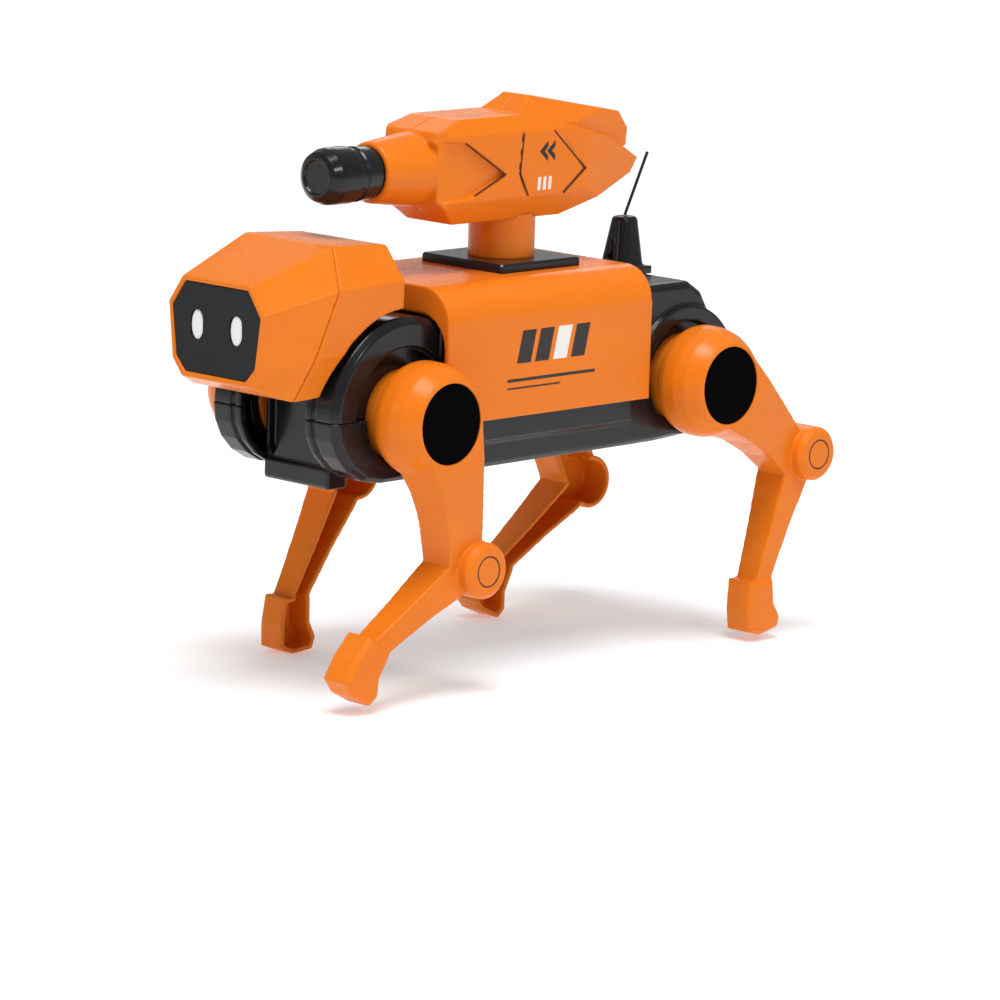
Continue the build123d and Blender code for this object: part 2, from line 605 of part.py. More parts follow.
LEGS = {"left_front": (1, FRONT_Y, -LEFT_SWING), "left_rear": (1, REAR_Y, LEFT_SWING),
        "right_front": (-1, FRONT_Y, RIGHT_SWING), "right_rear": (-1, REAR_Y, -RIGHT_SWING)}
for name, (side, hip_y, turn) in LEGS.items():
    shape = left_leg(hip_y, turn)
    with BuildPart() as leg:
        add(shape if side > 0 else shape.mirror(Plane.YZ))
    finish(leg, f"{name}_leg")
    with BuildPart() as cap:
        with BuildSketch(x_plane(side * (HUB_OUT - 2.0), hip_y, HIP_Z)):
            Circle(CAP_R)
        extrude(amount=side * 1.8)
        chamfer(cap.edges().group_by(Axis.X)[-1 if side > 0 else 0], length=0.3)
    finish(cap, f"{name}_hip_cap")

# ---------------------------------------------------------------- turret
TURRET_SIDE = [(-35.0, 153.2), (-34.2, 156.0), (-24.5, 159.4), (3.0, 159.4), (40.0, 150.0),
               (53.3, 143.4), (49.7, 139.2), (29.2, 132.6), (18.4, 129.2), (-25.8, 129.2),
               (-33.6, 136.0), (-33.6, 152.6)]
TURRET_PLAN = [(-9.6, -35.0), (-12.5, -30.0), (-12.5, 27.0), (-7.0, 54.0),
               (7.0, 54.0), (12.5, 27.0), (12.5, -30.0), (9.6, -35.0)]
TURRET_SECTION = [(9.4, 160.0), (12.5, 154.6), (12.5, 136.0), (9.0, 129.0)]
BLOCK_SIDE = [(-1.0, 157.5), (8.2, 164.2), (44.6, 157.6), (49.2, 152.4), (48.6, 147.0), (30.0, 147.0)]
BLOCK_SECTION = [(5.1, 165.0), (5.6, 163.0), (10.5, 156.0), (10.5, 140.0)]
BLOCK_PLAN = [(-11.0, -2.0), (-11.0, 20.0), (-6.4, 50.0), (6.4, 50.0), (11.0, 20.0), (11.0, -2.0)]
PANEL = [(-1.0, 157.3), (12.3, 156.9), (25.8, 142.6), (14.9, 134.2), (1.5, 133.9), (-2.2, 142.9)]
NOTCH = [(-37.0, 153.8), (-24.2, 152.8), (-7.4, 142.8), (-22.0, 136.8), (-37.0, 136.0)]
COLLAR_FRONT, COLLAR_REAR = -51.0, -36.0
BARREL_R = 8.2


def faceted(side_outline, plan, section):
    """Block whose side, plan and front outlines are all given."""
    with BuildPart() as block:
        with BuildSketch(x_plane(-20)):
            filled(side_outline)
        extrude(amount=40)
        with BuildSketch(Plane.XY.offset(120)):
            filled(plan)
        extrude(amount=60, mode=Mode.INTERSECT)
        with BuildSketch(y_plane(-60)):
            filled(both_sides(section))
        extrude(amount=130, mode=Mode.INTERSECT)
    return block.part


main_body = faceted(TURRET_SIDE, TURRET_PLAN, TURRET_SECTION)
top_block = faceted(BLOCK_SIDE, BLOCK_PLAN, BLOCK_SECTION)
with BuildPart() as turret:
    add(main_body)
    add(top_block)
    # collar round the barrel
    with BuildSketch(Plane(origin=(0, 0, BARREL_Z), x_dir=(1, 0, 0), z_dir=(0, 0, 1))):
        filled([(0, COLLAR_FRONT), (8.2, COLLAR_FRONT), (8.8, COLLAR_FRONT + 0.6), (10.6, COLLAR_REAR),
                (10.6, COLLAR_REAR + 3), (0, COLLAR_REAR + 3)])
    revolve(axis=Axis((0, 0, BARREL_Z), (0, 1, 0)))
    # three-cornered recess and the groove round the side panel
    for side in (1, -1):
        with BuildSketch(x_plane(side * TURRET_HALF)):
            filled(NOTCH)
        extrude(amount=-side * 1.5, mode=Mode.SUBTRACT)
        with BuildSketch(x_plane(side * TURRET_HALF)):
            filled(PANEL)
            offset(amount=-0.7, mode=Mode.SUBTRACT)
        extrude(amount=-side * 0.6, mode=Mode.SUBTRACT)
    # hollow, column socket and barrel bore
    with BuildSketch(x_plane(-TURRET_HALF + 2.6)):
        filled([(-30, 150), (-22, 156), (28, 150), (34, 143), (24, 135.5), (-22, 133), (-30, 139)])
    extrude(amount=2 * (TURRET_HALF - 2.6), mode=Mode.SUBTRACT)
    with Locations((0, TURRET_Y, 125)):
        Cylinder(COLUMN_R + RUN, 2 * (COLUMN_TOP - 125), mode=Mode.SUBTRACT)
    with BuildSketch(y_plane(COLLAR_FRONT - 1)):
        with Locations((0, BARREL_Z)):
            Circle(7.0 + RUN)
    extrude(amount=22, mode=Mode.SUBTRACT)

for side, name in ((1, "left"), (-1, "right")):
    with BuildPart() as half:
        add(turret.part)
        with Locations((side * 25, 0, 145)):
            Box(50, 150, 60, mode=Mode.INTERSECT)
    finish(half, f"turret_{name}_half")
    with BuildPart() as column:
        with Locations((0, TURRET_Y, (PLATE_TOP + COLUMN_TOP) / 2)):
            Cylinder(COLUMN_R, COLUMN_TOP - PLATE_TOP)
            Cylinder(5.0, COLUMN_TOP - PLATE_TOP, mode=Mode.SUBTRACT)
        with Locations((side * 25, 0, 125)):
            Box(50, 60, 60, mode=Mode.INTERSECT)
    finish(column, f"column_{name}_half")

BARREL_PROFILE = [(0, -70.6), (4.6, -70.6), (5.0, -71.2), (5.6, -71.2), (7.0, -70.4), (8.0, -68.0),
                  (BARREL_R, -66.0), (BARREL_R, -60.4), (7.5, -59.6), (7.5, -57.8), (7.9, -57.2),
                  (7.6, -52.0), (7.0, -51.4), (7.0, -31.0), (0, -31.0)]
with BuildPart() as turret_barrel:
    with BuildSketch(Plane(origin=(0, 0, BARREL_Z), x_dir=(1, 0, 0), z_dir=(0, 0, 1))):
        filled(BARREL_PROFILE)
    revolve(axis=Axis((0, 0, BARREL_Z), (0, 1, 0)))
finish(turret_barrel, "turret_barrel")

with BuildPart() as turret_plate:
    with Locations((0, TURRET_Y, COVER_TOP + PLATE_THICK / 2)):
        Box(PLATE_SIZE, PLATE_SIZE, PLATE_THICK)
        chamfer(turret_plate.edges().filter_by(Axis.Z), length=0.8)
        chamfer(turret_plate.faces().sort_by(Axis.Z)[-1].edges(), length=0.6)
        Cylinder(3.0 + RUN, 10, mode=Mode.SUBTRACT)
finish(turret_plate, "turret_plate")

with BuildPart() as turret_pivot:
    with BuildSketch(Plane(origin=(0, TURRET_Y, 0), x_dir=(1, 0, 0), z_dir=(0, -1, 0))):
        filled([(0, 109.0), (5.6, 109.0), (5.6, 110.5), (3.0, 110.5), (3.0, PLATE_TOP),
                (4.95, PLATE_TOP), (4.95, 124.0), (0, 124.0)])
    revolve(axis=Axis((0, TURRET_Y, 0), (0, 0, 1)))
finish(turret_pivot, "turret_pivot")

# ---------------------------------------------------------------- antenna
with BuildPart() as antenna_base:
    with Locations((0, ANTENNA_Y, HOOD_TOP + 1.2)):
        Box(12.6, 13.0, 2.4)
    with BuildSketch(Plane.XY.offset(HOOD_TOP + 2.4)):
        with Locations((0, ANTENNA_Y)):
            RectangleRounded(10.4, 10.8, 3.0)
    with BuildSketch(Plane.XY.offset(125.0)):
        with Locations((0, ANTENNA_Y + 0.6)):
            RectangleRounded(6.6, 6.8, 2.6)
    loft()
    fillet(antenna_base.faces().sort_by(Axis.Z)[-1].edges(), radius=1.4)
    with BuildSketch(y_plane(ANTENNA_Y - 8)):
        with Locations((0, 112.6)):
            Circle(1.1)
        with Locations((0, 117.6)):
            Rectangle(0.7, 10)
    extrude(amount=4.4, mode=Mode.SUBTRACT)
finish(antenna_base, "antenna_base")

ROD_LEAN = 26.0
with BuildPart() as antenna_rod:
    lean = radians(ROD_LEAN)
    with BuildSketch(Plane(origin=(0, ANTENNA_Y + 0.6, 125.3), x_dir=(1, 0, 0),
                           z_dir=(0, sin(lean), cos(lean)))):
        Circle(0.45)
    extrude(amount=20.2)
finish(antenna_rod, "antenna_rod")

# ---------------------------------------------------------------- linkage rods and lever pins
def middle_shift(turn):
    """How far a rod's rear ring stands over its pin at rest, so that its error is shared evenly."""
    return -2 * LEVER_R * ((1 + cos(radians(MAX_SWING))) / 2 - cos(radians(turn)))


ROD_WIDTH = 3.6
RING_INNER, RING_OUTER = LEVER_PIN_R + 0.9, 3.7
for name, side, front_turn, rear_turn in (("left", 1, -LEFT_SWING, LEFT_SWING),
                                          ("right", -1, RIGHT_SWING, -RIGHT_SWING)):
    front = swung(front_turn, (0, LEVER_R))
    rear = swung(rear_turn, (0, -LEVER_R))
    start = (FRONT_Y + front[0], HIP_Z + front[1])
    pin = (REAR_Y + rear[0], HIP_Z + rear[1])
    ring = (pin[0], pin[1] + middle_shift(front_turn))
    length = sqrt((ring[0] - start[0]) ** 2 + (ring[1] - start[1]) ** 2)
    slope = acos((ring[0] - start[0]) / length) * 180 / pi
    with BuildPart() as rod:
        with BuildSketch(x_plane(side * ROD_IN, *start, -slope)):
            with Locations((length / 2, 0)):
                Rectangle(length, ROD_WIDTH)
            Circle(RING_OUTER)
            with Locations((length, 0)):
                Circle(RING_OUTER)
                Circle(RING_INNER, mode=Mode.SUBTRACT)
        extrude(amount=side * (ROD_OUT - ROD_IN))
        with BuildSketch(x_plane(side * ROD_OUT, *start)):
            Circle(LEVER_PIN_R)
        extrude(amount=side * (FLANGE_OUT - ROD_OUT))
    finish(rod, f"{name}_link_rod")
    with BuildPart() as lever_pin:
        with BuildSketch(x_plane(side * (ROD_IN - 0.2), *pin)):
            Circle(LEVER_PIN_R)
        extrude(amount=side * (FLANGE_OUT - ROD_IN + 0.2))
    finish(lever_pin, f"{name}_rear_lever_pin")

# ---------------------------------------------------------------- gearbox
MOTOR_Y = REAR_Y - 3 * GEAR_DISTANCE
PRESSURE = radians(20)
ADDENDUM, DEDENDUM = 0.65 * MODULE, 1.05 * MODULE
BACKLASH = 0.08


def involute(angle):
    return tan(angle) - angle


def gear_outline(teeth, phase):
    """Involute gear outline about the origin with one tooth centred at phase degrees."""
    pitch_r = MODULE * teeth / 2
    base_r = pitch_r * cos(PRESSURE)
    root_r, tip_r = pitch_r - DEDENDUM, pitch_r + ADDENDUM
    half_pitch = pi / (2 * teeth) - BACKLASH / (2 * pitch_r)
    start_r = max(root_r, base_r)
    steps = 4
    flank = [(start_r + (tip_r - start_r) * i / steps) for i in range(steps + 1)]
    half_angles = [half_pitch + involute(PRESSURE) - involute(acos(base_r / r)) for r in flank]
    if root_r < base_r:
        flank.insert(0, root_r)
        half_angles.insert(0, half_angles[0])
    points = []
    for tooth in range(teeth):
        centre = radians(phase) + 2 * pi * tooth / teeth
        for r, half in zip(flank, half_angles):
            points.append((r * cos(centre - half), r * sin(centre - half)))
        for r, half in reversed(list(zip(flank, half_angles))):
            points.append((r * cos(centre + half), r * sin(centre + half)))
    return points


def meshed_phase(phase, teeth, next_teeth):
    """Phase that puts the next gear towards -Y in mesh with this one."""
    direction = 180
    return direction + 180 - ((phase - direction) * teeth + 180) / next_teeth


def gear_disc(teeth, phase, near, y):
    """Add one toothed disc to the part being built."""
    with BuildSketch(x_plane(near, y, HIP_Z)) as disc:
        filled(gear_outline(teeth, phase))
    extrude(disc.sketch, amount=GEAR_WIDTH)


GEAR2_Y, GEAR1_Y = REAR_Y - GEAR_DISTANCE, REAR_Y - 2 * GEAR_DISTANCE
with BuildPart() as axle_gear:
    gear_disc(BIG_TEETH, 0, PLANE_C, REAR_Y)
    with BuildSketch(x_plane(PLANE_C - 1.5, REAR_Y, HIP_Z)):
        Circle(3.0)
    extrude(amount=1.5)
    with BuildSketch(x_plane(0, REAR_Y, HIP_Z)):
        Circle(AXLE_R)
    extrude(amount=20, mode=Mode.SUBTRACT)
finish(axle_gear, "axle_gear")

for name, y, near, far in (("compound_gear_slow", GEAR2_Y, PLANE_C, PLANE_B),
                           ("compound_gear_fast", GEAR1_Y, PLANE_B, PLANE_A)):
    with BuildPart() as compound:
        gear_disc(SMALL_TEETH, meshed_phase(0, BIG_TEETH, SMALL_TEETH), near, y)
        with BuildSketch(x_plane(near + GEAR_WIDTH, y, HIP_Z)):
            Circle(2.4)
        extrude(amount=far - near - GEAR_WIDTH)
        gear_disc(BIG_TEETH, 0, far, y)
        with BuildSketch(x_plane(0, y, HIP_Z)):
            Circle(SHAFT_R + RUN)
        extrude(amount=20, mode=Mode.SUBTRACT)
    finish(compound, name)

with BuildPart() as motor_pinion:
    gear_disc(SMALL_TEETH, meshed_phase(0, BIG_TEETH, SMALL_TEETH), PLANE_A, MOTOR_Y)
    with BuildSketch(x_plane(0, MOTOR_Y, HIP_Z)):
        Circle(SHAFT_R)
    extrude(amount=20, mode=Mode.SUBTRACT)
finish(motor_pinion, "motor_pinion")

MOTOR_FRONT, MOTOR_BACK, MOTOR_R, MOTOR_FLAT = 9.0, -13.0, 10.0, 15.0
with BuildPart() as motor_can:
    with BuildSketch(x_plane(MOTOR_BACK + 2.5, MOTOR_Y, HIP_Z)):
        Circle(MOTOR_R)
        Rectangle(MOTOR_FLAT, 30, mode=Mode.INTERSECT)
    extrude(amount=MOTOR_FRONT - MOTOR_BACK - 2.5)
    with BuildSketch(x_plane(MOTOR_FRONT - 6, MOTOR_Y, HIP_Z)):
        Circle(SHAFT_R + RUN)
    extrude(amount=6, mode=Mode.SUBTRACT)
finish(motor_can, "motor_can")

with BuildPart() as motor_end_cap:
    with BuildSketch(x_plane(MOTOR_BACK, MOTOR_Y, HIP_Z)):
        Circle(MOTOR_R - 0.4)
        Rectangle(MOTOR_FLAT - 0.8, 30, mode=Mode.INTERSECT)
    extrude(amount=2.5)
finish(motor_end_cap, "motor_end_cap")

with BuildPart() as motor_shaft:
    with BuildSketch(x_plane(MOTOR_FRONT - 5.9, MOTOR_Y, HIP_Z)):
        Circle(SHAFT_R)
    extrude(amount=PLANE_A + GEAR_WIDTH - MOTOR_FRONT + 5.9)
finish(motor_shaft, "motor_shaft")

with BuildPart() as gear_shafts:
    with BuildSketch(x_plane(-CASE_HALF + CASE_WALL, 0, HIP_Z)):
        with Locations((GEAR1_Y, 0), (GEAR2_Y, 0)):
            Circle(SHAFT_R)
    extrude(amount=2 * (CASE_HALF - CASE_WALL))
finish(gear_shafts, "gear_shafts")

CASE_MID_Y, CASE_MID_Z = (CASE_FRONT + CASE_REAR) / 2, (CASE_BOTTOM + CASE_TOP) / 2
CASE_SCREWS = ((CASE_FRONT + 2.4, CASE_TOP - 2.4), (CASE_REAR - 2.4, CASE_BOTTOM + 2.4))
with BuildPart() as gearbox_case:
    with BuildSketch(x_plane(-CASE_HALF, CASE_MID_Y, CASE_MID_Z)):
        Rectangle(CASE_REAR - CASE_FRONT, CASE_TOP - CASE_BOTTOM)
    extrude(amount=2 * CASE_HALF - CASE_WALL)
    with BuildSketch(x_plane(-CASE_HALF + CASE_WALL, CASE_MID_Y, CASE_MID_Z)):
        Rectangle(CASE_REAR - CASE_FRONT - 2 * CASE_WALL, CASE_TOP - CASE_BOTTOM - 2 * CASE_WALL)
    extrude(amount=2 * CASE_HALF, mode=Mode.SUBTRACT)
    with BuildSketch(x_plane(CASE_HALF - CASE_WALL - 4)):
        with Locations(*CASE_SCREWS):
            Circle(1.9)
            Circle(0.8, mode=Mode.SUBTRACT)
    extrude(amount=4)
    with BuildSketch(x_plane(-CASE_HALF, REAR_Y, HIP_Z)):
        Circle(AXLE_R + RUN)
    extrude(amount=4, mode=Mode.SUBTRACT)
    with Locations((-4, 26, CASE_TOP), (-7, 26, CASE_TOP)):
        Cylinder(0.6, 4, mode=Mode.SUBTRACT)
finish(gearbox_case, "gearbox_case")

with BuildPart() as gearbox_cover:
    with BuildSketch(x_plane(CASE_HALF - CASE_WALL, CASE_MID_Y, CASE_MID_Z)):
        Rectangle(CASE_REAR - CASE_FRONT, CASE_TOP - CASE_BOTTOM)
    extrude(amount=CASE_WALL)
    with BuildSketch(x_plane(CASE_HALF - 2 * CASE_WALL)):
        with Locations(*CASE_SCREWS):
            Circle(0.8)
        with Locations((REAR_Y, HIP_Z)):
            Circle(AXLE_R + RUN)
    extrude(amount=4, mode=Mode.SUBTRACT)
finish(gearbox_cover, "gearbox_cover")

with BuildPart() as gearbox_screws:
    with BuildSketch(x_plane(CASE_HALF - 4.5)):
        with Locations(*CASE_SCREWS):
            Circle(0.8)
    extrude(amount=4.5)
    with BuildSketch(x_plane(CASE_HALF)):
        with Locations(*CASE_SCREWS):
            Circle(1.5)
    extrude(amount=0.7)
finish(gearbox_screws, "gearbox_screws")

DISC_IN, DISC_OUT, DISC_R = 14.5, 15.6, 5.2
with BuildPart() as crank_axle:
    with BuildSketch(x_plane(-DISC_IN, REAR_Y, HIP_Z)):
        Circle(AXLE_R)
    extrude(amount=2 * DISC_IN)
finish(crank_axle, "crank_axle")
for name, side, offset_y in (("left_crank", 1, CRANK_OFFSET), ("right_crank", -1, -CRANK_OFFSET)):
    with BuildPart() as crank:
        with BuildSketch(x_plane(side * DISC_IN, REAR_Y, HIP_Z)):
            Circle(DISC_R)
        extrude(amount=side * (DISC_OUT - DISC_IN))
        with BuildSketch(x_plane(side * DISC_OUT, REAR_Y + offset_y, HIP_Z)):
            Circle(CRANK_PIN_R)
        extrude(amount=side * 22)
    finish(crank, name)

# ---------------------------------------------------------------- power, receiver and switch
with BuildPart() as battery_cells:
    with BuildSketch(y_plane(CELL_FRONT)):
        with Locations((CELL_X, CELL_Z), (-CELL_X, CELL_Z)):
            Circle(CELL_R)
    extrude(amount=CELL_REAR - CELL_FRONT - 1)
    with BuildSketch(y_plane(CELL_REAR - 1)):
        with Locations((CELL_X, CELL_Z), (-CELL_X, CELL_Z)):
            Circle(2.6)
    extrude(amount=1)
finish(battery_cells, "battery_cells")

with BuildPart() as battery_contacts:
    for y in (CELL_FRONT - 0.7, CELL_REAR + 0.1):
        with BuildSketch(y_plane(y)):
            with Locations((CELL_X, CELL_Z), (-CELL_X, CELL_Z)):
                Rectangle(9, 9)
        extrude(amount=0.6)
finish(battery_contacts, "battery_contacts")

with BuildPart() as receiver_board:
    with Locations((0, -4, BOARD_Z + BOARD_THICK / 2)):
        Box(25, 34, BOARD_THICK)
        with Locations((12.5, 0, 0), (-12.5, 4, 0)):
            Box(3, 4, 4, mode=Mode.SUBTRACT)
finish(receiver_board, "receiver_board")

BOARD_TOP = BOARD_Z + BOARD_THICK
BOARD_PARTS = {"receiver_crystal": (0, -12, 9, 3.6, 3.2), "receiver_chip": (-2, -4, 6, 9, 1.6),
               "receiver_socket": (4, 5, 6, 5, 4.6), "receiver_coil": (-8, 3, 3.6, 3.6, 4.0)}
for name, (x, y, width, depth, height) in BOARD_PARTS.items():
    with BuildPart() as component:
        with Locations((x, y, BOARD_TOP + height / 2)):
            Box(width, depth, height)
        chamfer(component.faces().sort_by(Axis.Z)[-1].edges(), length=0.4)
    finish(component, name)

SWITCH_X, SWITCH_Y, SWITCH_TRAVEL = 0.0, -45.0, 3.0
with BuildPart() as switch_slider:
    with Locations((SWITCH_X, SWITCH_Y, BELLY_Z + 0.3)):
        Box(3.4, 3.2, 3.2)
    for ridge in (-1.1, 0, 1.1):
        with Locations((SWITCH_X + ridge, SWITCH_Y, BELLY_Z - 1.3)):
            Box(0.4, 3.2, 0.5, mode=Mode.SUBTRACT)
    with Locations((SWITCH_X, SWITCH_Y, BELLY_Z + 2.78)):
        Box(4.4, 5.6, 1.0)
    with Locations((SWITCH_X, SWITCH_Y, BELLY_Z + 2)):
        Box(3.4, 3.2, 1.0)
finish(switch_slider, "switch_slider")

with BuildPart() as switch_body:
    with Locations((SWITCH_X + SWITCH_TRAVEL / 2, SWITCH_Y, BELLY_Z + 5.6)):
        Box(11, 7, 4.4)
finish(switch_body, "switch_body")


def screw(spots, seat, end, name, head_height=1.2):
    """Group of vertical screws whose heads sit under seat and whose shanks reach end."""
    with BuildPart() as group:
        with BuildSketch(Plane.XY.offset(seat - head_height)):
            with Locations(*spots):
                Circle(SCREW_HEAD_R)
        extrude(amount=head_height)
        with BuildSketch(Plane.XY.offset(seat)):
            with Locations(*spots):
                Circle(SCREW_R)
        extrude(amount=end - seat)
        for x, y in spots:
            with Locations((x, y, seat - head_height)):
                Box(2.6, 0.5, 1.0, mode=Mode.SUBTRACT)
                Box(0.5, 2.6, 1.0, mode=Mode.SUBTRACT)
    finish(group, name)


screw(SCREW_FRONT, SCREW_FRONT_SEAT, SCREW_END, "front_chassis_screws")
screw(SCREW_REAR, SCREW_REAR_SEAT, SCREW_END, "rear_chassis_screws")
screw(((0, TONGUE_Y),), TONGUE_Z - 1.5, 112.0, "head_screw")
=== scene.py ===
"""Looks of the walking robot dog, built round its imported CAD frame."""
import json
from math import cos, pi, radians, sin

import bmesh
import bpy
from mathutils import Matrix, Vector


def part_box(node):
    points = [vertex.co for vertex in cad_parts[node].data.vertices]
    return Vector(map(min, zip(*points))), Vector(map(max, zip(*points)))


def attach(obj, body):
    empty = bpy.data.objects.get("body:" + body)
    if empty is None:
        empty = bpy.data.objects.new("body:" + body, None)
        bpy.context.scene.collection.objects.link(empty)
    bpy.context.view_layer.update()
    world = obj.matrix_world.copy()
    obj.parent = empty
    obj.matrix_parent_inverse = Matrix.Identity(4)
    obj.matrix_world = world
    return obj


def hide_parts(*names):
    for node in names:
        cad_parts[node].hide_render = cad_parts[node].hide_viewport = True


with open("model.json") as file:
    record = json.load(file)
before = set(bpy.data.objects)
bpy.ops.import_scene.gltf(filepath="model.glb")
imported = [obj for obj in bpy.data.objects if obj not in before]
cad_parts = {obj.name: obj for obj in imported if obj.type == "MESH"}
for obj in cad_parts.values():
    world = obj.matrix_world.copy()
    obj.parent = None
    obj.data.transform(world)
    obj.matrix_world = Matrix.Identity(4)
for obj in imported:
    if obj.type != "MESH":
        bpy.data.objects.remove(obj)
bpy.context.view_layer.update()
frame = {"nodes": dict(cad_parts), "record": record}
nodes, record = frame["nodes"], frame["record"]
slot_of = {row["node"]: row["material_slot"] for row in record["subparts"]}
body_of = {node: body for body, members in record["behaviour"]["bodies"].items() for node in members}
MM = 0.001

# ---------------------------------------------------------------- camera
AZIMUTH, ELEVATION, ROLL = radians(44.0), radians(10.4), radians(1.8)
CAMERA_PLACE, LENS, SENSOR = (1.10012, -1.13226, 0.33531), 198.0, 36.0
forward = Vector((-sin(AZIMUTH) * cos(ELEVATION), cos(AZIMUTH) * cos(ELEVATION), -sin(ELEVATION)))
level = Vector((cos(AZIMUTH), sin(AZIMUTH), 0.0))
above = level.cross(forward)
image_right = cos(ROLL) * level + sin(ROLL) * above
image_up = cos(ROLL) * above - sin(ROLL) * level
camera_data = bpy.data.cameras.new("camera")
camera_data.lens, camera_data.sensor_width = LENS, SENSOR
camera_data.clip_start, camera_data.clip_end = 0.1, 20.0
camera = bpy.data.objects.new("camera", camera_data)
bpy.context.scene.collection.objects.link(camera)
turn = Matrix((image_right, image_up, -forward)).transposed()
camera.matrix_world = Matrix.Translation(CAMERA_PLACE) @ turn.to_4x4()
bpy.context.scene.camera = camera


# ---------------------------------------------------------------- materials
class Graph:
    """Small helper that adds linked nodes to one material."""

    def __init__(self, name):
        self.material = bpy.data.materials.new(name)
        self.material.use_nodes = True
        self.tree = self.material.node_tree
        self.shader = self.tree.nodes["Principled BSDF"]
        self.place = self.add("ShaderNodeTexCoord").outputs["Object"]

    def add(self, kind, links=None, **settings):
        node = self.tree.nodes.new(kind)
        for key, value in settings.items():
            setattr(node, key, value)
        for key, value in (links or {}).items():
            if isinstance(value, bpy.types.NodeSocket):
                self.tree.links.new(value, node.inputs[key])
            else:
                node.inputs[key].default_value = value
        return node

    def noise(self, scale, detail=2.0, roughness=0.5, place=None):
        return self.add("ShaderNodeTexNoise", {"Vector": place or self.place, "Scale": scale,
                                               "Detail": detail, "Roughness": roughness}).outputs["Fac"]

    def spread(self, value, low, high, out_low, out_high):
        return self.add("ShaderNodeMapRange", {"Value": value, "From Min": low, "From Max": high,
                                               "To Min": out_low, "To Max": out_high}).outputs["Result"]

    def maths(self, operation, a, b):
        return self.add("ShaderNodeMath", {0: a, 1: b}, operation=operation).outputs[0]

    def mix(self, share, a, b):
        node = self.add("ShaderNodeMix", data_type="RGBA")
        for socket, value in ((0, share), (6, a), (7, b)):
            if isinstance(value, bpy.types.NodeSocket):
                self.tree.links.new(value, node.inputs[socket])
            else:
                node.inputs[socket].default_value = value
        return node.outputs[2]

    def set(self, name, value):
        if isinstance(value, bpy.types.NodeSocket):
            self.tree.links.new(value, self.shader.inputs[name])
        else:
            self.shader.inputs[name].default_value = value


def edge_mask(graph, radius):
    """1 along outside edges and 0 on open faces, from how far rounding turns the surface."""
    bevel = graph.add("ShaderNodeBevel", {"Radius": radius}, samples=4).outputs["Normal"]
    normal = graph.add("ShaderNodeNewGeometry").outputs["Normal"]
    dot = graph.add("ShaderNodeVectorMath", {0: bevel, 1: normal}, operation="DOT_PRODUCT")
    return graph.spread(dot.outputs["Value"], 0.995, 0.9, 0.0, 1.0)


def plastic(name, colour, dark, pale, rough=0.26, peel=0.04, coat=0.15, round_edge=0.45 * MM,
            gloss=0.4):
    """Moulded plastic: faint flow shading, orange-peel bump, dull patches and rubbed edges."""
    g = Graph(name)
    flow = g.noise(26.0, 3.0)
    stretched = g.add("ShaderNodeMapping", {"Vector": g.place, "Scale": (1.0, 0.22, 1.6)}).outputs[0]
    sweep = g.noise(55.0, 2.0, place=stretched)
    tone = g.mix(g.spread(flow, 0.35, 0.7, 0.0, 1.0), dark, colour)
    tone = g.mix(g.spread(sweep, 0.45, 0.8, 0.0, 0.18), tone, pale)
    worn = edge_mask(g, 0.35 * MM)
    broken = g.maths("MULTIPLY", worn, g.spread(g.noise(420.0, 4.0), 0.42, 0.62, 0.0, 0.5))
    g.set("Base Color", g.mix(broken, tone, pale))
    patch = g.spread(g.noise(70.0, 4.0, 0.6), 0.3, 0.75, rough - 0.05, rough + 0.1)
    grime = g.spread(g.noise(900.0, 2.0), 0.4, 0.8, -0.02, 0.05)
    g.set("Roughness", g.maths("ADD", patch, grime))
    g.set("Coat Weight", coat)
    g.set("Coat Roughness", 0.12)
    g.set("Specular IOR Level", gloss)
    height = g.maths("ADD", g.noise(1500.0, 2.0), g.maths("MULTIPLY", g.noise(240.0, 2.0), 1.6))
    rounded = g.add("ShaderNodeBevel", {"Radius": round_edge}, samples=6).outputs["Normal"]
    bump = g.add("ShaderNodeBump", {"Strength": peel, "Distance": 0.2 * MM, "Height": height,
                                    "Normal": rounded})
    g.set("Normal", bump.outputs["Normal"])
    return g.material


def metal(name, colour, rough, grain=(1.0, 1.0, 1.0)):
    """Plated or drawn metal with fine lines and cloudy polish."""
    g = Graph(name)
    lines = g.noise(900.0, 3.0, place=g.add("ShaderNodeMapping", {"Vector": g.place,
                                                                  "Scale": grain}).outputs[0])
    cloud = g.noise(120.0, 3.0)
    dark = tuple(0.7 * c for c in colour[:3]) + (1.0,)
    g.set("Base Color", g.mix(g.spread(cloud, 0.3, 0.7, 0.0, 1.0), dark, colour))
    g.set("Metallic", 1.0)
    g.set("Roughness", g.spread(g.maths("ADD", lines, cloud), 0.7, 1.3, rough - 0.08, rough + 0.12))
    bump = g.add("ShaderNodeBump", {"Strength": 0.15, "Distance": 0.1 * MM, "Height": lines})
    g.set("Normal", bump.outputs["Normal"])
    return g.material


